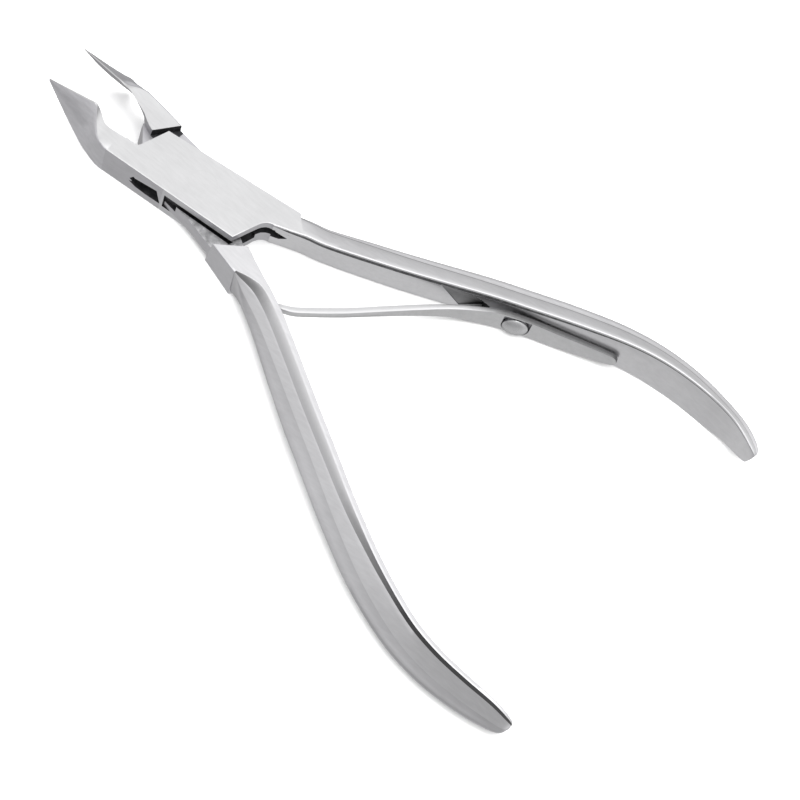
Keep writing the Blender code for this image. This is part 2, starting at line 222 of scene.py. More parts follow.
def turned(name, profile, axis, origin, steps=64):
    """A solid of revolution from (radius, level) points, its axis along the given direction."""
    mesh = bpy.data.meshes.new(name)
    work = bmesh.new()
    rings = []
    for radius, level in profile:
        if radius < 1e-6:
            rings.append([work.verts.new((0, 0, level * MM))])
            continue
        ring = []
        for step in range(steps):
            angle = 2 * math.pi * step / steps
            x = radius * math.cos(angle)
            y = radius * math.sin(angle)
            ring.append(work.verts.new((x * MM, y * MM, level * MM)))
        rings.append(ring)
    for near, far in zip(rings, rings[1:]):
        for step in range(steps):
            after = (step + 1) % steps
            if len(near) == 1:
                work.faces.new((near[0], far[after], far[step]))
            elif len(far) == 1:
                work.faces.new((near[step], near[after], far[0]))
            else:
                work.faces.new((near[step], near[after], far[after], far[step]))
    bmesh.ops.recalc_face_normals(work, faces=work.faces)
    work.to_mesh(mesh)
    work.free()
    turn = Vector((0, 0, 1)).rotation_difference(Vector(axis)).to_matrix().to_4x4()
    mesh.transform(Matrix.Translation(Vector(origin) * MM) @ turn)
    return add_piece(name, mesh)


def hull(name, points):
    """The convex solid round a set of points."""
    mesh = bpy.data.meshes.new(name)
    work = bmesh.new()
    for point in points:
        work.verts.new(Vector(point) * MM)
    bmesh.ops.convex_hull(work, input=work.verts)
    bmesh.ops.recalc_face_normals(work, faces=work.faces)
    work.to_mesh(mesh)
    work.free()
    return add_piece(name, mesh)


def combine(target, tool, operation, *materials):
    """One exact Boolean; faces that come from the tool keep the tool's materials."""
    for material in materials:
        tool.data.materials.append(material)
    modifier = target.modifiers.new("cut", "BOOLEAN")
    modifier.operation = operation
    modifier.solver = "EXACT"
    modifier.material_mode = "TRANSFER"
    modifier.object = tool
    bpy.context.view_layer.update()
    graph = bpy.context.evaluated_depsgraph_get()
    mesh = bpy.data.meshes.new_from_object(target.evaluated_get(graph))
    target.modifiers.clear()
    target.data = mesh
    bpy.data.objects.remove(tool, do_unlink=True)
    tidy(target.data)


def finish_surface(piece):
    """Smooth shading with sharp edges kept, and flat faces left flat."""
    piece.data.shade_smooth()
    piece.data.set_sharp_from_angle(angle=math.radians(SHARP_ANGLE))
    weigh = piece.modifiers.new("weighted normals", "WEIGHTED_NORMAL")
    weigh.keep_sharp = True
    weigh.weight = 80


# ---------------------------------------------------------------- materials


def node(tree, kind, **values):
    made = tree.nodes.new(kind)
    for key, value in values.items():
        if key.startswith("in_"):
            made.inputs[key[3:].replace("_", " ")].default_value = value
        else:
            setattr(made, key, value)
    return made


def ramp(tree, stops, source):
    made = tree.nodes.new("ShaderNodeValToRGB")
    elements = made.color_ramp.elements
    while len(elements) < len(stops):
        elements.new(0.5)
    for element, (place, value) in zip(elements, stops):
        element.position = place
        shade = value if isinstance(value, tuple) else (value, value, value)
        element.color = (*shade, 1.0)
    tree.links.new(source, made.inputs["Fac"])
    return made.outputs["Color"]


def new_metal(name, metallic, roughness=None):
    """A material with its node tree, its shader and the object's own coordinates."""
    material = bpy.data.materials.new(name)
    material.use_nodes = True
    tree = material.node_tree
    shader = tree.nodes["Principled BSDF"]
    shader.inputs["Metallic"].default_value = metallic
    if roughness is not None:
        shader.inputs["Roughness"].default_value = roughness
    place = node(tree, "ShaderNodeTexCoord")
    return material, tree, shader, place.outputs["Object"]


def noise(tree, source, **values):
    made = node(tree, "ShaderNodeTexNoise", **values)
    tree.links.new(source, made.inputs["Vector"])
    return made.outputs["Fac"]


def ranged(tree, source, **limits):
    """A value carried from one range over to another."""
    made = node(tree, "ShaderNodeMapRange", **limits)
    tree.links.new(source, made.inputs["Value"])
    return made.outputs["Result"]


def multiplied(tree, first, second):
    """The product of two colours."""
    mixed = node(tree, "ShaderNodeMix", data_type="RGBA", blend_type="MULTIPLY")
    mixed.inputs["Factor"].default_value = 1.0
    tree.links.new(first, mixed.inputs[6])
    tree.links.new(second, mixed.inputs[7])
    return mixed.outputs[2]


def add_relief(tree, shader, height, strength, distance):
    relief = node(tree, "ShaderNodeBump", in_Strength=strength, in_Distance=distance)
    tree.links.new(height, relief.inputs["Height"])
    tree.links.new(relief.outputs["Normal"], shader.inputs["Normal"])


# Texture scales per metre, and the strength of the relief.
BRUSH_SCALE = (480.0, 2800.0, 1300.0)
SPECK_SCALE = 3800.0
CLOUD_SCALE = 130.0
STEEL_BUMP = 0.04


def steel(name, tint, low_rough, high_rough, grain_angle, grain=1.0, blotch=0.03):
    """Brushed stainless steel: fine lines along one direction, soft blotches and specks."""
    material, tree, shader, place = new_metal(name, 1.0)
    along = node(tree, "ShaderNodeMapping")
    along.inputs["Rotation"].default_value = (0.0, 0.0, math.radians(grain_angle))
    along.inputs["Scale"].default_value = BRUSH_SCALE
    tree.links.new(place, along.inputs["Vector"])
    brushed = along.outputs["Vector"]
    lines = noise(tree, brushed, in_Scale=1.0, in_Detail=4.0, in_Roughness=0.6)
    speck = noise(tree, place, in_Scale=SPECK_SCALE, in_Detail=2.0)
    cloud = noise(tree, place, in_Scale=CLOUD_SCALE, in_Detail=3.0, in_Roughness=0.55)
    light = tuple(min(1.0, channel * (1 + blotch)) for channel in tint)
    dark = tuple(channel * (1 - blotch) for channel in tint)
    clouds = ramp(tree, [(0.3, dark), (0.7, light)], cloud)
    streaks = ramp(tree, [(0.25, 1 - 0.07 * grain), (0.75, 1.0)], lines)
    tree.links.new(multiplied(tree, clouds, streaks), shader.inputs["Base Color"])
    rough = ranged(tree, lines, in_To_Min=low_rough, in_To_Max=high_rough)
    tree.links.new(rough, shader.inputs["Roughness"])
    heights = node(tree, "ShaderNodeMath", operation="MULTIPLY_ADD")
    heights.inputs[1].default_value = 0.35
    tree.links.new(speck, heights.inputs[0])
    tree.links.new(lines, heights.inputs[2])
    add_relief(tree, shader, heights.outputs["Value"], STEEL_BUMP * grain, 0.00002)
    return material


def rough_steel_and_painted_shade(name, tint, roughness):
    """Unpolished steel mottled round its tint; near black, it is painted shade inside slots and
    gaps.
    """
    material, tree, shader, place = new_metal(name, 0.8, roughness)
    patch = noise(tree, place, in_Scale=900.0, in_Detail=4.0, in_Roughness=0.65)
    dark = tuple(0.5 * channel for channel in tint)
    light = tuple(1.9 * channel for channel in tint)
    shade = ramp(tree, [(0.35, dark), (0.6, tint), (0.8, light)], patch)
    tree.links.new(shade, shader.inputs["Base Color"])
    add_relief(tree, shader, patch, 0.35, 0.00005)
    return material


# Painted shade at a handle's start: where it is darkest and where it ends, and how dark.
START_SHADE_DARKEST = 11.5
START_SHADE_END = 20.0
START_SHADE_DEPTH = 0.75


def painted_shade_ramp_steel(name, tint, roughness, light_end, dark_end, depth, start=False):
    """Painted shade: steel that darkens along X between two places; start adds painted shade at
    the handle's start.
    """
    material, tree, shader, place = new_metal(name, 1.0, roughness)
    parts = node(tree, "ShaderNodeSeparateXYZ")
    tree.links.new(place, parts.inputs["Vector"])
    along = parts.outputs["X"]
    patch = noise(tree, place, in_Scale=1600.0, in_Detail=4.0, in_Roughness=0.6)
    ends = {"in_From_Min": light_end * MM, "in_From_Max": dark_end * MM}
    darkest = ranged(tree, along, **ends, in_To_Max=depth)
    if start:
        ends = {"in_From_Min": START_SHADE_DARKEST * MM, "in_From_Max": START_SHADE_END * MM}
        near = ranged(tree, along, **ends, in_To_Min=START_SHADE_DEPTH, in_To_Max=0.0)
        deeper = node(tree, "ShaderNodeMath", operation="MAXIMUM")
        tree.links.new(darkest, deeper.inputs[0])
        tree.links.new(near, deeper.inputs[1])
        darkest = deeper.outputs["Value"]
    mottled = node(tree, "ShaderNodeMath", operation="MULTIPLY_ADD", use_clamp=True)
    mottled.inputs[1].default_value = 0.16
    tree.links.new(patch, mottled.inputs[0])
    tree.links.new(darkest, mottled.inputs[2])
    dark = tuple(0.14 * channel for channel in tint)
    middle = tuple(0.5 * channel for channel in tint)
    shade = ramp(tree, [(0.08, tint), (0.6, middle), (1.0, dark)], mottled.outputs["Value"])
    tree.links.new(shade, shader.inputs["Base Color"])
    add_relief(tree, shader, patch, 0.1, 0.00003)
    return material


# ---------------------------------------------------------------- jaws

# Cutting edge of the front jaw; the back jaw's is the same line turned back by the closing angle.
CLOSING_ANGLE = 15.0
EDGE_HEEL = Vector((-18.0, -1.95))
EDGE_TIP = Vector((-25.35, -3.3))
GAP = 0.06

# Stations along the edge from the heel, each with nine (outwards, height) points: the upper
# rim's inner, middle and outer points, three down the bevel, two below and one inside.
BLADE = [
    (7.435, [(GAP, 5.85), (0.08, 5.85), (0.1, 5.84), (0.11, 5.82), (0.16, 5.78), (0.22, 5.7),
            (0.26, 5.6), (0.18, 5.6), (GAP, 5.7)]),
    (5.6, [(GAP, 6.16), (0.14, 6.14), (0.21, 6.1), (0.26, 6.05), (0.6, 5.72), (0.92, 5.1),
           (1.0, 4.2), (0.65, 4.2), (0.22, 5.3)]),
    (3.4, [(GAP, 6.53), (0.15, 6.5), (0.25, 6.45), (0.31, 6.4), (0.92, 5.85), (1.6, 4.75),
           (1.9, 2.6), (1.5, 2.6), (0.5, 4.9)]),
    (1.3, [(GAP, 6.88), (0.15, 6.85), (0.27, 6.8), (0.33, 6.75), (1.2, 6.02), (2.3, 4.55),
           (2.75, 1.3), (2.4, 1.3), (1.0, 4.4)]),
    (0.0, [(GAP, 7.1), (0.18, 7.07), (0.3, 7.01), (0.37, 6.96), (1.45, 6.12), (2.75, 4.5),
           (3.3, 0.7), (2.9, 0.7), (1.3, 4.2)]),
]
FRONT_ROOT = [
    (-0.55, [(0.1, 6.42), (0.4, 6.58), (0.82, 6.76), (0.92, 6.72), (1.85, 6.08), (3.05, 4.6),
             (3.5, 0.5), (2.6, 0.5), (1.0, 4.0)]),
    (-1.05, [(0.36, 6.12), (0.95, 6.25), (1.63, 6.52), (1.74, 6.47), (2.5, 5.95), (3.35, 4.7),
             (3.7, 0.35), (2.4, 0.35), (1.0, 3.8)]),
    (-1.6, [(0.8, 5.95), (1.5, 6.02), (2.38, 6.27), (2.5, 6.22), (3.05, 5.9), (3.68, 4.8),
            (3.9, 0.25), (2.3, 0.25), (1.1, 3.5)]),
    (-2.6, [(1.5, 5.92), (2.5, 5.96), (3.64, 6.06), (3.75, 6.02), (4.02, 5.8), (4.25, 4.6),
            (4.3, 0.06), (2.2, 0.06), (1.5, 3.0)]),
    (-3.5, [(1.66, 5.97), (3.0, 5.99), (4.28, 6.01), (4.4, 5.96), (4.52, 5.7), (4.58, 4.5),
            (4.58, 0.0), (2.8, 0.0), (1.66, 3.0)]),
    (-4.6, [(1.66, 6.0), (3.2, 6.0), (4.58, 6.0), (4.71, 5.95), (4.74, 5.8), (4.745, 4.5),
            (4.745, 0.0), (3.0, 0.0), (1.66, 3.0)]),
    (-7.0, [(1.7, 6.0), (3.2, 6.0), (4.47, 6.0), (4.6, 5.95), (4.63, 5.8), (4.635, 4.5),
            (4.635, 0.0), (3.0, 0.0), (1.7, 3.0)]),
]
BACK_ROOT = [
    (-0.55, [(0.16, 6.84), (0.35, 6.73), (0.62, 6.56), (0.72, 6.49), (1.9, 5.92), (2.7, 4.4),
             (2.95, 1.6), (2.7, 1.4), (1.2, 4.4)]),
    (-1.1, [(0.34, 6.6), (0.7, 6.43), (1.2, 6.2), (1.32, 6.14), (2.1, 5.8), (2.65, 4.4),
            (2.75, 2.2), (2.5, 2.0), (1.3, 4.4)]),
    (-1.7, [(0.44, 6.38), (1.0, 6.22), (1.75, 6.03), (1.87, 5.98), (2.32, 5.72), (2.6, 4.4),
            (2.65, 2.6), (2.35, 2.4), (1.2, 4.4)]),
    (-2.4, [(0.36, 6.16), (1.1, 6.1), (2.1, 6.0), (2.22, 5.95), (2.42, 5.7), (2.56, 4.4),
            (2.55, 2.5), (2.0, 2.4), (1.0, 4.4)]),
    (-3.2, [(0.2, 6.03), (1.3, 6.02), (2.33, 6.01), (2.46, 5.96), (2.52, 5.8), (2.53, 4.5),
            (2.5, 2.3), (1.6, 2.4), (0.75, 4.4)]),
    (-4.9, [(-0.16, 6.0), (1.2, 6.0), (2.38, 6.0), (2.5, 5.95), (2.54, 5.8), (2.54, 4.5),
            (2.52, 1.2), (0.9, 2.2), (0.2, 4.2)]),
    (-6.4, [(-0.78, 6.0), (0.9, 6.0), (2.4, 6.0), (2.52, 5.95), (2.56, 5.8), (2.56, 4.5),
            (2.54, 0.0), (0.9, 0.0), (-0.78, 3.0)]),
    (-7.6, [(-1.12, 6.0), (0.8, 6.0), (2.4, 6.0), (2.52, 5.95), (2.56, 5.8), (2.56, 4.5),
            (2.54, 0.0), (0.8, 0.0), (-1.12, 3.0)]),
    (-10.4, [(-1.3, 6.0), (0.8, 6.0), (2.36, 6.0), (2.48, 5.95), (2.52, 5.8), (2.52, 4.5),
             (2.5, 0.0), (0.8, 0.0), (-1.3, 3.0)]),
]
JAW_STATIONS = 72
JAW_TOP_COLUMNS = 2


def edge_frame(back_jaw):
    """Heel, direction and outward side of a cutting edge."""
    heel = EDGE_HEEL.copy()
    run = (EDGE_TIP - EDGE_HEEL).normalized()
    outward = Vector((-run.y, run.x))
    if not back_jaw:
        return heel, run, outward
    turn = Matrix.Rotation(math.radians(-CLOSING_ANGLE), 2)
    return turn @ heel, turn @ run, -(turn @ outward)


def jaw(name, back_jaw):
    """One jaw from its root to its tip, as a fine loft across the cutting edge."""
    heel, run, outward = edge_frame(back_jaw)
    stations = BLADE + (BACK_ROOT if back_jaw else FRONT_ROOT)
    stations = sorted(stations, key=lambda item: item[0])
    xs = np.array([item[0] for item in stations])
    ys = np.array([item[1] for item in stations])
    rings = []
    for step in range(JAW_STATIONS + 1):
        along = xs[0] + (xs[-1] - xs[0]) * step / JAW_STATIONS
        profile = smooth_value(xs, ys, along)
        bevel = through(profile[3:7], 4)
        inside = through(np.array([profile[7], profile[8], profile[0]]), 3)
        outline = [*profile[:3], *bevel, *inside[:-1]]
        ring = []
        for offset, level in outline:
            spot = heel + run * along + outward * float(offset)
            ring.append((spot.x, spot.y, level))
        rings.append(ring)
    return loft(name, rings, {index: 1 for index in range(JAW_TOP_COLUMNS, len(rings[0]))})


# ---------------------------------------------------------------- handles

# Inner faces seen from above.
UPPER_INNER = [
    (11.0, 2.4), (13.2, 3.42), (15.46, 4.42), (18.18, 5.4), (24.0, 8.25), (30.02, 11.36),
    (38.63, 16.09), (43.58, 18.58), (50.41, 21.89), (57.28, 24.89), (62.98, 26.5), (69.0, 27.1),
    (74.7, 26.75), (79.85, 25.15),
]
LOWER_INNER = [
    (10.79, -2.43), (12.66, -3.2), (14.89, -4.06), (17.32, -4.95), (20.96, -6.53),
    (26.5, -9.42), (32.09, -12.43), (38.09, -15.57), (46.0, -19.75), (53.6, -23.3),
    (61.0, -25.95), (66.3, -26.92), (71.8, -27.12), (76.5, -27.05), (80.15, -27.35),
]
HANDLE_STATIONS = 110

# Tables against the distance from the handle's start. Across the section from the inner face:
# a flat band, a rounded shoulder down to a valley, a facet down to the crease, and the round
# outer side. "under" is the chamfer below the ridge, painted shade, "bulge" how round the
# shoulder is,
# "line" and "seam" the narrow strips past the valley and the crease, "tip" the facet's dip,
# "fall" the outer side's first slope in degrees, "mid" the height of its widest place, and
# "lean" and "shelf" how far the inner face's foot and its lower part stand out.
LOWER_SECTION = {
    "width": [(0, 4.7), (1.35, 3.82), (2.6, 3.45), (5, 3.75), (8, 4.05), (12, 4.35), (20, 4.78),
              (28, 5.0), (35, 4.97), (44, 4.87), (60, 4.8), (82, 4.8)],
    "band": [(0, 4.72), (1.35, 3.84), (2.45, 3.33), (2.9, 2.8), (3.5, 2.35), (4.25, 1.8),
             (4.85, 1.45), (5.45, 1.15), (6.1, 1.0), (7.1, 0.92), (9, 0.88), (20, 0.86),
             (35, 0.84), (50, 0.82), (65, 0.88), (75, 1.02), (82, 1.3)],
    "cove": [(0, 4.78), (1.35, 3.9), (2.5, 3.4), (3.5, 2.95), (4.5, 2.5), (5.45, 2.2),
             (7.1, 2.02), (8.8, 2.0), (11, 2.02), (18, 2.0), (30, 1.9), (40, 1.65), (46, 1.32),
             (52, 1.16), (60, 1.14), (68, 1.2), (75, 1.36), (82, 1.65)],
    "cove_level": [(0, 5.95), (2.5, 5.85), (3.5, 5.45), (4.7, 5.2), (5.45, 5.08), (7, 5.0),
                   (30, 4.95), (46, 5.0), (56, 5.1), (82, 5.15)],
    "crease": [(0, 4.81), (1.35, 3.92), (2.5, 3.42), (4.7, 3.3), (6.8, 3.25), (11, 3.25),
               (30, 3.2), (82, 3.3)],
    "crease_level": [(0, 5.9), (2.45, 5.8), (3.5, 5.15), (4.7, 4.66), (5.45, 4.38),
                     (6.8, 4.2), (30, 4.1),
                     (42, 3.85), (52, 3.4), (62, 3.15), (82, 3.1)],
    "under": [(0, 0.02), (82, 0.02)],
    "line": [(0, 0.006), (82, 0.006)],
    "bulge": [(0, 0.3), (3.0, 0.4), (6, 0.8), (40, 0.8), (50, 0.3), (82, 0.1)],
    "tip": [(0, 0.0), (82, 0.0)],
    "seam": [(0, 0.03), (82, 0.03)],
    "fall": [(0, 50), (6, 47), (82, 47)],
    "lean": [(0, 0.0), (82, 0.0)],
    "shelf": [(0, 0.0), (82, 0.0)],
    "mid": [(0, 3.0), (30, 3.0), (42, 2.6), (52, 2.1), (62, 1.8), (82, 1.8)],
}
UPPER_SECTION = {
    "width": [(0, 3.45), (3, 3.7), (9, 4.0), (14, 4.2), (22, 4.3), (40, 4.25), (82, 4.15)],
    "band": [(0, 0.38), (82, 0.38)],
    "cove": [(0, 0.47), (82, 0.47)],
    "cove_level": [(0, 5.96), (82, 5.93)],
    "crease": [(0, 2.85), (5, 2.95), (10, 3.05), (28, 2.8), (34, 2.65), (52, 2.6), (60, 2.5),
               (66, 2.3), (82, 2.2)],
    "crease_level": [(0, 5.8), (2.0, 5.35), (4.5, 4.7), (8.0, 4.35), (28, 4.4), (52, 4.5),
                     (66, 4.6), (82, 4.7)],
    "under": [(0, 0.02), (1.2, 0.3), (2.6, 0.75), (6, 0.9), (12, 1.0), (26, 0.95), (45, 0.6),
              (54, 0.3), (62, 0.18), (70, 0.14), (82, 0.1)],
    "line": [(0, 0.006), (82, 0.006)],
    "bulge": [(0, 0.3), (82, 0.3)],
    "tip": [(0, 0.0), (5, 0.1), (82, 0.1)],
    "seam": [(0, 0.03), (3, 0.2), (60, 0.2), (82, 0.12)],
    "fall": [(0, 30), (6, 22), (82, 20)],
    "lean": [(0, -0.4), (6, -0.35), (12, -0.15), (18, 0.0), (30, 0.15), (38, 0.2), (45, 0.4),
             (52, 0.8), (58, 1.3), (66, 1.2), (71, 0.8), (82, 0.6)],
    "shelf": [(0, 0.0), (35, 0.0), (40, 0.2), (44, 0.26), (52, 0.26), (58, 0.0), (82, 0.0)],
    "mid": [(0, 3.0), (82, 3.0)],
}
# Width and height shares against the distance from the tail end.
LOWER_TAIL_WIDTH = [(0, 0.1), (0.12, 0.2), (0.4, 0.3), (1.0, 0.4), (2.2, 0.5), (4.5, 0.63),
                    (8.5, 0.75), (10.5, 0.8), (14.5, 0.86), (18, 0.905), (22, 0.95), (26, 0.985),
                    (30, 1.0), (90, 1.0)]
UPPER_TAIL_WIDTH = [(0, 0.1), (0.12, 0.2), (0.4, 0.32), (1.0, 0.42), (2.2, 0.51), (3.7, 0.57),
                    (7.9, 0.65), (11.7, 0.74), (15.2, 0.805), (18.5, 0.855), (22, 0.91),
                    (26.5, 0.966), (34, 1.0), (90, 1.0)]
LOWER_TAIL_HEIGHT = [(0, 0.3), (0.12, 0.5), (0.4, 0.66), (1.0, 0.78), (2.2, 0.88), (4.5, 0.96),
                     (8, 1.0), (90, 1.0)]
UPPER_TAIL_HEIGHT = [(0, 0.2), (0.12, 0.32), (0.4, 0.43), (1.0, 0.53), (2.2, 0.66), (4.5, 0.82),
                     (8, 0.96), (11, 1.0), (90, 1.0)]
LOWER_TAIL_MIDDLE = 3.0
UPPER_TAIL_MIDDLE = 4.7
BLOCK_FRONT = Vector((-0.746, -0.666))
BLOCK_TURN = 2.6


def half_section(at):
    """Upper half of a handle's section, from under the ridge to the middle of the outer side."""
    rim = HEIGHT - 0.015
    low = 5.74 - 0.5 * at["under"]
    back = 0.12 * at["under"]
    points = [(0.0, 4.5), (0.0, low), (back, 5.74), (back + 0.03, 5.87), (back + 0.09, 5.96)]
    points += [(back + 0.18, 6.0), (at["band"] - 0.06, 6.0), (at["band"], rim)]
    across = at["cove"] - at["band"]
    for step in range(1, 6):
        t = step / 5
        drop = t + (t * t - t) * at["bulge"]
        points.append((at["band"] + across * t, rim - (rim - at["cove_level"]) * drop))
    start = at["cove"] + at["line"]
    level = at["cove_level"] - 0.2 * at["line"]
    points.append((start, level))
    for t in (0.25, 0.5, 0.7, 0.86, 1.0):
        drop = t - at["tip"] * (t - t**4)
        n = start + (at["crease"] - start) * t
        points.append((n, level + (at["crease_level"] - level) * drop))
    side = at["width"] - at["crease"]
    high = at["crease_level"]
    fall = min(0.6 * side * math.tan(math.radians(at["fall"])), 0.6 * (high - at["mid"]))
    corners = [
        (at["crease"] + at["seam"], high - 0.8 * at["seam"]),
        (at["crease"] + 0.6 * side, high - fall),
        (at["width"], at["mid"] + 0.45 * (high - at["mid"])), (at["width"], at["mid"]),
    ]
    for t in (0.0, 0.2, 0.4, 0.6, 0.8, 1.0):
        shares = ((1 - t) ** 3, 3 * t * (1 - t) ** 2, 3 * t * t * (1 - t), t**3)
        n = sum(share * corner[0] for share, corner in zip(shares, corners))
        z = sum(share * corner[1] for share, corner in zip(shares, corners))
        points.append((n, z))
    return points


def whole_section(at):
    """Both halves of a section, the lower one flattened to its own height, the foot leaning."""
    half = half_section(at)
    mid = at["mid"]
    lower = [(n, mid * (HEIGHT - z) / (HEIGHT - mid)) for n, z in reversed(half[:-1])]
    points = []
    for n, z in half + lower:
        foot = max(1 - z / 5.74, 0.0) * max(1 - n / at["width"], 0.0)
        shelf = at["shelf"] if n == 0.0 and z < 4.6 else 0.0
        points.append((n - at["lean"] * foot - shelf, z))
    return points


# Section columns that carry painted shade: the chamfer under the ridge, the lower handle's valley
# and outer side, and the upper handle's crease seam.
UNDER_SHADE_COLUMN = 1
VALLEY_SHADE_COLUMNS = range(7, 13)
SEAM_SHADE_COLUMN = 18
OUTER_SHADE_COLUMNS = range(18, 31)


def handle(name, inner, side, tables, tail, slanted):
    """A handle along its inner face; side is +1 where the outside lies to the left."""
    tail_width, tail_height, tail_middle = tail
    shares = [step / HANDLE_STATIONS for step in range(HANDLE_STATIONS)]
    shares += [0.994, 0.9965, 0.998, 0.9993, 1.0]
    path, total = even_path(inner, sorted(shares))
    rings = []
    for place, run, along in path:
        outward = Vector((-run[1], run[0])) * side
        if slanted and along < BLOCK_TURN:
            mix = smooth_value((0.0, BLOCK_TURN), (0.0, 1.0), along)
            outward = (BLOCK_FRONT * (1 - mix) + outward * mix).normalized()
        left = total - along
        section = whole_section({key: pairs_value(table, along) for key, table in tables.items()})
        wide = pairs_value(tail_width, left)
        tall = pairs_value(tail_height, left)
        ring = []
        for n, z in section:
            spot = Vector(place) + outward * (n * wide if n > 0 else n)
            ring.append((spot.x, spot.y, tail_middle + (z - tail_middle) * tall))
        rings.append(ring)
    # Painted shade on the valley, outer side and crease columns; the under-ridge chamfer takes
    # the painted dark line.
    paint = {column: 2 for column in VALLEY_SHADE_COLUMNS} if slanted else {SEAM_SHADE_COLUMN: 2}
    if slanted:
        paint.update({column: 3 for column in OUTER_SHADE_COLUMNS})
    paint[UNDER_SHADE_COLUMN] = 1
    return loft(name, rings, paint)


def upper_handle():
    tail = (UPPER_TAIL_WIDTH, UPPER_TAIL_HEIGHT, UPPER_TAIL_MIDDLE)
    return handle("handle", UPPER_INNER, 1, UPPER_SECTION, tail, False)


def lower_handle():
    tail = (LOWER_TAIL_WIDTH, LOWER_TAIL_HEIGHT, LOWER_TAIL_MIDDLE)
    return handle("handle", LOWER_INNER, -1, LOWER_SECTION, tail, True)


def face_at(where):
    """Place, direction and outward side on the upper handle's inner face at a given X."""
    dense = through(UPPER_INNER, 24)
    index = int(np.argmin(np.abs(dense[:, 0] - where)))
    run = Vector(dense[min(index + 1, len(dense) - 1)] - dense[index - 1]).normalized()
    return Vector(dense[index]), run, Vector((-run.y, run.x))


# ---------------------------------------------------------------- box lever

PLATE_OUTLINE = [
    (-12.65, -5.79), (-3.1, -4.5), (8.26, -2.96), (9.13, -0.05), (9.5, 1.1), (9.72, 1.62),
    (10.1, 2.1), (10.5, 2.36), (11.2, 2.62), (13.2, 3.5), (15.2, 4.5), (14.5, 4.75), (13.8, 5.2),
    (13.1, 5.8), (12.35, 6.58), (-8.61, 2.62), (-9.1, 0.95), (-9.6, -0.72), (-9.9, -1.75),
    (-10.1, -2.08), (-10.5, -2.22), (-11.9, -2.36),
]
# The lower plate stands back a little round the rear notch.
REAR_SET_BACK = {
    (9.13, -0.05): (-0.1, 0.1), (9.5, 1.1): (-0.12, 0.3), (9.72, 1.62): (-0.05, 0.42),
    (10.1, 2.1): (0.0, 0.4), (10.5, 2.36): (0.0, 0.4), (11.2, 2.62): (0.0, 0.4),
    (13.2, 3.5): (-0.1, 0.6), (15.2, 4.5): (-0.65, 0.5), (14.5, 4.75): (-0.2, 0.42),
    (13.8, 5.2): (-0.1, 0.18),
}
SLOT_OUTLINE = [
    (-2.7, -8.0), (-2.7, -4.3), (-3.1, -4.15), (-7.8, -4.75), (-12.6, -2.3), (-14.5, -1.2),
    (-14.5, 9.0), (7.6, 9.0), (11.7, 2.2), (14.0, -8.0),
]
LOW_SLOT_OUTLINE = [*SLOT_OUTLINE[:8], (8.3, 3.2), (8.9, 1.4), (9.9, 1.1), (14.0, -8.0)]
SLOT_STEP = 2.35
# The wall right of and in front of this place is the plate's own front edge.
FRONT_EDGE = Vector((-3.1, -2.9)) * MM
# The opening through the front wall, as (X, height).
WINDOW = [
    (-8.3, 2.2), (-7.75, 2.5), (-8.25, 2.9), (-7.7, 3.9), (-7.45, 3.68), (-3.95, 4.3),
    (-3.1, 1.55), (-5.4, 1.45), (-7.2, 1.62),
]


def wall_prism(name, points, front, back):
    """A prism across the box, from (X, height) points."""
    rings = []
    for y in (front, back):
        rings.append([(x, y, z) for x, z in points])
    return loft(name, rings)


def scoop_tool():
    """The ground hollow beside the spring, as a convex cutter in the handle's inner face."""
    place, run, outward = face_at(37.0)
    corners = [(-4.9, 5.45, 0.0), (-0.6, 5.0, 0.0), (2.7, 3.2, 0.0), (1.9, 1.2, 0.0),
               (-1.4, 1.2, 0.0)]
    deep = [(0.5, 4.7, 0.55), (2.4, 3.3, 0.7), (1.7, 1.6, 0.8)]
    points = []
    for along, level, depth in corners + deep:
        spot = place + run * along + outward * depth
        points.append((spot.x, spot.y, level))
    for along, level, _ in corners:
        spot = place + run * along - outward * 1.5
        points.append((spot.x, spot.y, level))
    return hull("scoop", points)


def slot_end_tool():
    """The pointed end of the slot where it runs out in the rear handle's inner face."""
    place, run, outward = face_at(12.0)
    points = []
    for along, level in ((-1.2, 4.6), (-1.2, SLOT_STEP), (0.1, SLOT_STEP), (1.25, 3.3)):
        for depth in (-0.9, 1.2):
            spot = place + run * along + outward * depth
            points.append((spot.x, spot.y, level))
    return hull("slot_end", points)


def paint_walls(piece, index):
    """Give every steep face of a piece the material of the given slot."""
    for face in piece.data.polygons:
        if abs(face.normal.z) < 0.35:
            face.material_index = index


def drill_pivot(lever, radius):
    """The rivet's hole right through a lever."""
    profile = [(0.0, -1.0), (radius, -1.0), (radius, 7.0), (0.0, 7.0)]
    hole = turned("hole", profile, (0, 0, 1), (0, 0, 0), RIVET_STEPS)
    combine(lever, hole, "DIFFERENCE")


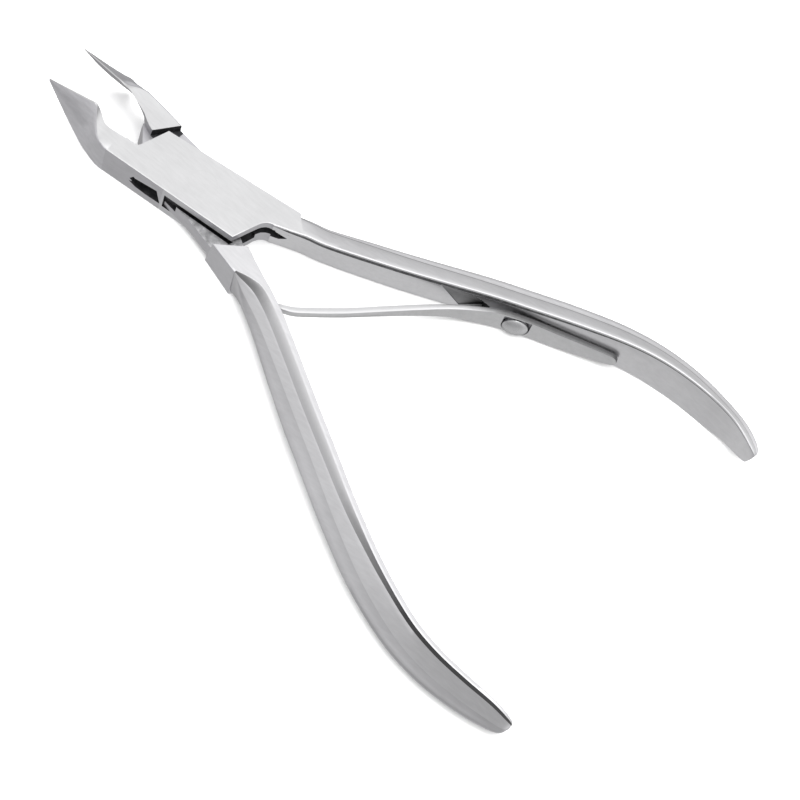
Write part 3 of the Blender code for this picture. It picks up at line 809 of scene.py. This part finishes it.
def build_box_lever(metals):
    lever = prism("box_lever_forging", PLATE_OUTLINE, 0.0, HEIGHT, EDGE_WORN, REAR_SET_BACK)
    for name in ("flat", "ground", "edge"):
        lever.data.materials.append(metals[name])
    paint_walls(lever, 1)
    for face in lever.data.polygons:
        ahead = face.center.x > FRONT_EDGE.x and face.center.y < FRONT_EDGE.y
        if face.material_index and ahead:
            face.material_index = 2
    combine(lever, jaw("jaw", False), "UNION", metals["flat"], metals["blade"])
    # The rear handle carries painted shade: a dark line under the ridge and a darker crease.
    combine(lever, upper_handle(), "UNION", metals["top"], metals["line"], metals["seam"])
    # Painted shade: near-black steel lines the slots, the slot end and the window.
    dark = metals["dark"]
    combine(lever, prism("slot", SLOT_OUTLINE, SLOT_STEP, SLOT_HIGH), "DIFFERENCE", dark)
    low_slot = prism("slot", LOW_SLOT_OUTLINE, SLOT_LOW, SLOT_STEP + 0.05)
    combine(lever, low_slot, "DIFFERENCE", dark)
    combine(lever, slot_end_tool(), "DIFFERENCE", dark)
    combine(lever, wall_prism("window", WINDOW, -8.0, -4.0), "DIFFERENCE", dark)
    drill_pivot(lever, RIVET_RADIUS + RIVET_SEAM)
    # The hollow is lined with painted shade.
    combine(lever, scoop_tool(), "DIFFERENCE", metals["scoop"])
    return lever


# ---------------------------------------------------------------- tongue lever

TONGUE_TOP = [
    (-12.2, 1.55), (-11.2, 0.35), (-9.5, -1.5), (-8.4, -2.25), (-5.5, -2.8), (-3.75, -3.1),
    (-2.95, -4.12), (-1.5, -4.24), (1.45, -4.44), (3.35, -4.74), (5.85, -5.24), (7.45, -5.5),
    (12.0, -4.6),
    (10.75, -2.5), (8.5, -1.25), (5.0, 1.2), (1.5, 3.6), (-1.5, 4.3), (-4.1, 4.3), (-6.4, 4.42),
    (-9.0, 4.6), (-11.0, 4.6),
]
TONGUE_BOTTOM = [(-12.7, 2.2), (-11.6, 0.3), (-9.5, -1.7), *TONGUE_TOP[3:]]
POCKET_OUTLINE = [(-5.8, -8.0), (13.5, -8.0), (13.5, -2.0), (9.0, 0.6), (4.0, -1.0), (-5.8, -2.2)]
POCKET_FLOOR = 4.02
# The shoulder block beside the front handle, as matching outlines at the foot and at the top.
BLOCK_FOOT = [(6.5, -5.2), (6.6, -5.52), (12.3, -7.0), (13.2, -4.5), (10.2, -3.0)]
BLOCK_TOP = [(7.1, -5.58), (7.16, -5.74), (11.95, -6.64), (12.6, -4.5), (10.6, -2.75)]
# The gap between the pocket's floor and the plate's front edge, cut as a groove lined with
# painted shade.
GROOVE_OUTLINE = [(-2.7, -4.46), (0.0, -4.27), (8.25, -3.22), (8.4, -2.6), (-2.7, -3.9)]
STEP_OUTLINE = [(-10.9, -1.0), (-3.0, -1.0), (-3.0, 5.6), (-7.4, 5.6), (-7.86, 4.62),
                (-10.35, 0.85)]


def inset_pairs(outline, distance):
    return [(p.x, p.y) for p in inset([Vector(point) for point in outline], distance)]


def outline_loft(name, levels):
    """A solid through outlines of equal point count at given heights."""
    return loft(name, [[(x, y, level) for x, y in outline] for outline, level in levels])


def build_tongue_lever(metals):
    lever = outline_loft("tongue_lever_forging",
                         [(TONGUE_BOTTOM, TONGUE_LOW), (TONGUE_TOP, TONGUE_HIGH)])
    lever.data.materials.append(metals["ground"])
    strip = [(-6.0, 4.7), (-3.3, 4.7), (-3.3, 1.2), (-6.0, 1.2)]
    # Painted shade: near-black steel lines the strip cut, the groove and the back jaw's steps.
    dark = metals["dark"]
    combine(lever, wall_prism("strip", strip, -8.0, -3.3), "DIFFERENCE", dark)
    pocket = prism("pocket", POCKET_OUTLINE, POCKET_FLOOR, 5.0)
    combine(lever, pocket, "DIFFERENCE", metals["machined"])
    combine(lever, prism("groove", GROOVE_OUTLINE, 2.6, 4.3), "DIFFERENCE", dark)
    back = jaw("jaw", True)
    back.data.materials.append(metals["flat"])
    # The back jaw's blade columns are painted with shade.
    back.data.materials.append(metals["shaded"])
    for low, high in ((TONGUE_HIGH + 0.02, 8.0), (-2.0, TONGUE_LOW - 0.02)):
        combine(back, prism("step", STEP_OUTLINE, low, high), "DIFFERENCE", dark)
    combine(lever, back, "UNION")
    levels = [(BLOCK_FOOT, 0.0), (BLOCK_TOP, 5.86), (inset_pairs(BLOCK_TOP, 0.04), 5.96)]
    levels.append((inset_pairs(BLOCK_TOP, 0.1), 5.985))
    combine(lever, outline_loft("block", levels), "UNION", metals["block"])
    # The front handle's ridge line, valley and outer side carry painted shade.
    grip = (metals["grip"], metals["line"], metals["valley"], metals["outer"])
    combine(lever, lower_handle(), "UNION", *grip)
    drill_pivot(lever, RIVET_RADIUS + RIVET_CLEARANCE)
    return lever


# ---------------------------------------------------------------- rivet


def build_rivet():
    """Flush rivet: invisible from above, with a slight chamfer round its underside."""
    radius = RIVET_RADIUS
    profile = [(0.0, 0.0), (radius - 0.09, 0.0), (radius, 0.06), (radius, HEIGHT), (0.0, HEIGHT)]
    return turned("pivot_rivet_head", profile, (0, 0, 1), (0, 0, 0), RIVET_STEPS)


# ---------------------------------------------------------------- spring

SPRING_LINE = [
    (18.6, -4.75), (19.8, -4.2), (21.3, -3.15), (25.35, 0.9), (29.0, 5.0), (32.7, 9.1),
    (35.8, 12.2), (38.8, 14.6), (41.5, 16.53), (44.7, 18.3), (48.65, 20.22), (53.15, 22.38),
    (56.95, 24.0),
]
SPRING_THICKNESS = [0.6, 0.8, 0.9, 0.9, 0.88, 0.85, 0.75, 0.72, 0.75, 0.8, 0.85, 0.82, 0.7]
SPRING_LOW = [1.95, 1.88, 1.85, 1.82, 1.7, 1.5, 1.15, 0.7, 0.36, 0.36, 0.6, 1.05, 1.5]
SPRING_HIGH = [3.05, 3.12, 3.15, 3.18, 3.3, 3.5, 3.85, 4.3, 4.55, 4.3, 3.85, 3.45, 3.2]
SPRING_LEAN = [0.0, 0.0, 0.0, 0.0, 0.0, 0.0, 0.0, 0.05, 0.15, 0.25, 0.5, 0.8, 1.0]
SPRING_STATIONS = 150
# Columns of the leaf's top edge, painted with shade.
TOP_COLUMNS = (2, 3, 4)
SCREW_PLACE = Vector((43.45, 17.6))
SCREW_LEVEL = 2.0


def spring_steps():
    """Place, direction, thickness, low and high edge, lean and end distances along the leaf."""
    shares = [step / SPRING_STATIONS for step in range(SPRING_STATIONS + 1)]
    path, total = even_path(SPRING_LINE, shares)
    stations = [0.0]
    for a, b in zip(SPRING_LINE, SPRING_LINE[1:]):
        stations.append(stations[-1] + math.dist(a, b))
    stations = np.array(stations) * total / stations[-1]
    table = np.array([SPRING_THICKNESS, SPRING_LOW, SPRING_HIGH, SPRING_LEAN]).T
    result = []
    for place, run, along in path:
        values = [float(value) for value in smooth_value(stations, table, along)]
        result.append((Vector(place), Vector(run), *values, along, total - along))
    return result


def rounded_end(distance, reach):
    """Share of the full width near a rounded end."""
    if distance >= reach:
        return 1.0
    return math.sqrt(max(1 - (1 - distance / reach) ** 2, 0.02))


def build_spring():
    rings = []
    for place, run, thick, low, high, lean, along, left in spring_steps():
        across = Vector((-run.y, run.x))
        middle = 0.5 * (low + high)
        half = 0.5 * (high - low) * rounded_end(left, 0.9) * rounded_end(along, 0.5)
        edge = min(0.06, 0.15 * thick)
        side = 0.5 * thick
        corners = [
            (side, -half + edge), (side, half - edge), (side - edge * 0.3, half - edge * 0.3),
            (side - edge, half), (edge - side, half), (edge * 0.3 - side, half - edge * 0.3),
            (-side, half - edge), (-side, edge - half), (edge * 0.3 - side, edge * 0.3 - half),
            (edge - side, -half), (side - edge, -half), (side - edge * 0.3, edge * 0.3 - half),
        ]
        ring = []
        for offset, level in corners:
            height = middle + level
            foot = lean * max(1 - height / 5.0, 0.0)
            spot = place + across * (offset - foot)
            ring.append((spot.x, spot.y, height))
        rings.append(ring)
    return loft("leaf_spring", rings, {column: 1 for column in TOP_COLUMNS})


def screw_frame():
    """Axis out of the handle at the screw, a point on it, and the leaf's half thickness."""
    nearest = min(spring_steps(), key=lambda item: (item[0] - SCREW_PLACE).length)
    place, run, thick = nearest[:3]
    return Vector((run.y, -run.x, 0.0)), Vector((place.x, place.y, SCREW_LEVEL)), 0.5 * thick


def recess_tool():
    """The seat milled into the leaf round the screw head: round below, square above."""
    axis, seat, half = screw_frame()
    run = Vector((-axis.y, axis.x, 0.0))
    outline = [(2.0, 2.15), (-2.0, 2.15)]
    for step in range(13):
        angle = math.pi * (1 + step / 12)
        outline.append((2.0 * math.cos(angle), 2.0 * math.sin(angle)))
    rings = []
    for depth in (half - 0.3, 2.0):
        rings.append([seat + axis * depth + run * x + Vector((0, 0, z)) for x, z in outline])
    return loft("recess", rings)


def cut_screw_hole(spring, seat_shade_metal):
    axis, seat, _ = screw_frame()
    # The screw's seat and hole are lined with painted shade.
    combine(spring, recess_tool(), "DIFFERENCE", seat_shade_metal)
    profile = [(0.0, -2.0), (1.05, -2.0), (1.05, 2.0), (0.0, 2.0)]
    combine(spring, turned("hole", profile, axis, seat), "DIFFERENCE", seat_shade_metal)


def build_screw():
    """Shank and domed head of the spring screw."""
    axis, seat, half = screw_frame()
    floor = half - 0.27
    profile = [(0.0, -1.6), (0.9, -1.6), (0.9, floor), (1.76, floor), (1.86, floor + 0.05)]
    profile.append((1.9, floor + 0.3))
    for step in range(1, 11):
        angle = 0.5 * math.pi * step / 11
        profile.append((1.9 * math.cos(angle), floor + 0.3 + 0.85 * math.sin(angle)))
    profile.append((0.0, floor + 1.15))
    return turned("spring_screw_head", profile, axis, seat)


# ---------------------------------------------------------------- stage

CAMERA_TARGET = Vector((0.0393, -0.0017, 0.0))
CAMERA_AZIMUTH = -73.6
CAMERA_ELEVATION = 64.3
CAMERA_ROLL = 26.9
CAMERA_DISTANCE = 0.4
CAMERA_LENS = 132.6
SENSOR = 36.0


def make_camera():
    azimuth = math.radians(CAMERA_AZIMUTH)
    elevation = math.radians(CAMERA_ELEVATION)
    roll = math.radians(CAMERA_ROLL)
    level = math.cos(elevation)
    back = Vector((math.cos(azimuth) * level, math.sin(azimuth) * level, math.sin(elevation)))
    right = Vector((0, 0, 1)).cross(back).normalized()
    up = back.cross(right)
    x_axis = right * math.cos(roll) + up * math.sin(roll)
    y_axis = up * math.cos(roll) - right * math.sin(roll)
    data = bpy.data.cameras.new("camera")
    data.lens = CAMERA_LENS
    data.sensor_width = SENSOR
    data.clip_start = 0.01
    data.clip_end = 20.0
    camera = bpy.data.objects.new("camera", data)
    turn = Matrix((x_axis, y_axis, back)).transposed().to_4x4()
    camera.matrix_world = Matrix.Translation(CAMERA_TARGET + back * CAMERA_DISTANCE) @ turn
    bpy.context.scene.collection.objects.link(camera)
    bpy.context.scene.camera = camera


def make_floor():
    mesh = bpy.data.meshes.new("floor")
    size = 3.0
    corners = [(-size, -size, 0), (size, -size, 0), (size, size, 0), (-size, size, 0)]
    mesh.from_pydata(corners, [], [(0, 1, 2, 3)])
    floor = add_piece("floor", mesh)
    material = bpy.data.materials.new("floor_paper")
    material.use_nodes = True
    shader = material.node_tree.nodes["Principled BSDF"]
    shader.inputs["Base Color"].default_value = (0.93, 0.93, 0.93, 1.0)
    shader.inputs["Roughness"].default_value = 0.9
    shader.inputs["Specular IOR Level"].default_value = 0.1
    mesh.materials.append(material)
    floor.visible_glossy = False


# Fixed directions: the near side, straight up, the left, and down and away.
NEAR_SIDE = (0.282, -0.959, 0.0)
OVERHEAD = (0.0, 0.0, 1.0)
LEFT_SIDE = (-0.959, -0.282, 0.0)
DOWN_AWAY = (-0.169, 0.575, -0.8)
# Sky brightness against how far a direction points along each of them, from -1 to 1.
SKY_BY_SIDE = [(-1.0, 0.9), (-0.95, 0.98), (-0.84, 1.32), (-0.62, 1.2), (-0.43, 0.99), (0.0, 1.0),
               (0.43, 0.94), (0.59, 0.84), (0.77, 0.73), (0.9, 0.65), (1.0, 0.62)]
SKY_BY_HEIGHT = [(-1.0, 0.8), (-0.9, 0.8), (-0.64, 1.0), (-0.34, 0.88), (0.0, 0.9),
                 (0.44, 1.06), (0.8, 1.12), (0.9, 1.13), (0.945, 1.25), (0.985, 2.4), (1.0, 2.6)]
SKY_BY_LEFT = [(-1.0, 1.0), (0.1, 1.0), (0.4, 0.86), (1.0, 0.84)]
SKY_DOWN_AWAY = [(-1.0, 1.0), (0.5, 1.0), (0.62, 0.92), (0.88, 0.62), (1.0, 0.55)]
SKY_TOP = 2.6


def direction_ramp(tree, direction, table, place):
    """Grey from a table, by how far the sky's direction points along the given one."""
    share = node(tree, "ShaderNodeVectorMath", operation="DOT_PRODUCT")
    share.inputs[1].default_value = direction
    tree.links.new(place.outputs["Generated"], share.inputs[0])
    fraction = ranged(tree, share.outputs["Value"], in_From_Min=-1.0, in_From_Max=1.0)
    stops = [(0.5 + 0.5 * where, value / SKY_TOP) for where, value in table]
    return ramp(tree, stops, fraction)


def make_world():
    """A pale studio: brightest overhead, dimmer on the near side."""
    world = bpy.data.worlds.new("studio")
    world.use_nodes = True
    bpy.context.scene.world = world
    tree = world.node_tree
    background = tree.nodes["Background"]
    place = node(tree, "ShaderNodeTexCoord")
    product = direction_ramp(tree, NEAR_SIDE, SKY_BY_SIDE, place)
    others = ((OVERHEAD, SKY_BY_HEIGHT), (LEFT_SIDE, SKY_BY_LEFT), (DOWN_AWAY, SKY_DOWN_AWAY))
    for direction, table in others:
        product = multiplied(tree, product, direction_ramp(tree, direction, table, place))
    tree.links.new(product, background.inputs["Color"])
    background.inputs["Strength"].default_value = SKY_TOP**4


def make_lights():
    """One large soft lamp overhead for the floor; the metal mirrors the sky only."""
    data = bpy.data.lights.new("overhead", "AREA")
    data.shape = "DISK"
    data.size = 1.3
    data.energy = 15.5
    light = bpy.data.objects.new("overhead", data)
    light.location = (0.05, 0.1, 0.9)
    light.visible_glossy = False
    aim = Vector((0.03, 0.0, 0.0)) - light.location
    light.rotation_mode = "QUATERNION"
    light.rotation_quaternion = aim.to_track_quat("-Z", "Y")
    bpy.context.scene.collection.objects.link(light)


# ---------------------------------------------------------------- assembly


def dress(piece, body, nodes, metal):
    if metal is not None and not piece.data.materials:
        piece.data.materials.append(metal)
    finish_surface(piece)
    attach(piece, body)
    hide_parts(*nodes)


def main():
    metals = {
        "flat": steel("forged_steel_satin", (0.645, 0.645, 0.652), 0.28, 0.36, -28.0, 1.3),
        "ground": steel("forged_steel_ground", (0.56, 0.555, 0.577), 0.32, 0.42, 72.0, 2.2, 0.05),
        "blade": steel("blade_steel_ground", (0.64, 0.635, 0.66), 0.34, 0.44, 72.0, 2.6, 0.05),
        # Painted shade: a darker copy of the ground steel for the back jaw's blade and the
        # screw's seat.
        "shaded": steel("back_blade_painted_shade", (0.46, 0.457, 0.475), 0.34, 0.44, 40.0, 2.4, 0.06),
        "block": steel("block_steel_ground", (0.6, 0.597, 0.617), 0.32, 0.42, 40.0, 1.6),
        "edge": steel("plate_edge_steel", (0.63, 0.63, 0.645), 0.32, 0.42, 0.0, 1.6),
        "grip": steel("forged_steel_grip", (0.68, 0.677, 0.692), 0.26, 0.36, 20.0, 1.6),
        "top": steel("forged_steel_rear_grip", (0.73, 0.727, 0.742), 0.26, 0.36, 20.0, 1.6),
        # Painted shade: a darker copy of the grip steel for the front handle's outer side.
        "outer": steel("grip_outer_painted_shade", (0.57, 0.567, 0.582), 0.28, 0.38, -60.0, 1.6, 0.04),
        # Painted shade along the rear handle's crease.
        "seam": steel("crease_painted_shade", (0.42, 0.418, 0.43), 0.34, 0.42, 20.0, 1.6),
        # Painted shade: near-black line on the chamfer under each handle's ridge.
        "line": rough_steel_and_painted_shade("ridge_line_painted_shade", (0.14, 0.14, 0.145), 0.5),
        # Painted shade in the front handle's valley, darkening along X and at its start.
        "valley": painted_shade_ramp_steel("painted_shade_ramp_steel", (0.65, 0.647, 0.66), 0.3, 42.0, 62.0, 1.0, True),
        # Painted shade: near black, lining the slots, gaps, window, groove and steps.
        "dark": rough_steel_and_painted_shade("rough_steel_and_painted_shade", (0.07, 0.07, 0.075), 0.55),
        # Painted shade darkening across the hollow beside the spring.
        "scoop": painted_shade_ramp_steel("scoop_painted_shade", (0.5, 0.5, 0.51), 0.36, 32.0, 39.0, 1.0),
        "machined": rough_steel_and_painted_shade("machined_steel", (0.42, 0.42, 0.43), 0.4),
    }
    sprung = steel("spring_steel_satin", (0.62, 0.62, 0.628), 0.26, 0.36, 40.0, 1.8, 0.05)
    # Painted shade on the leaf's top edge, darkening along X past the scoop.
    leaf_edge = painted_shade_ramp_steel("leaf_top_painted_shade", (0.6, 0.6, 0.608), 0.36, 37.0, 41.5, 0.72)
    bright = steel("screw_steel_satin", (0.56, 0.56, 0.57), 0.24, 0.32, 10.0, 1.8, 0.06)

    box = build_box_lever(metals)
    dress(box, "box_lever", ["box_lever"], None)
    tongue = build_tongue_lever(metals)
    dress(tongue, "tongue_lever", ["tongue_lever"], None)
    rivet = build_rivet()
    dress(rivet, "box_lever", ["pivot_rivet"], metals["flat"])

    spring = build_spring()
    spring.data.materials.append(sprung)
    spring.data.materials.append(leaf_edge)
    cut_screw_hole(spring, metals["shaded"])
    finish_surface(spring)
    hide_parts("spring_root", "spring_arm")
    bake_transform(spring)

    screw = build_screw()
    dress(screw, "box_lever", ["spring_screw"], bright)

    make_floor()
    make_world()
    make_lights()
    make_camera()
    bpy.context.scene.view_settings.view_transform = "Standard"


main()
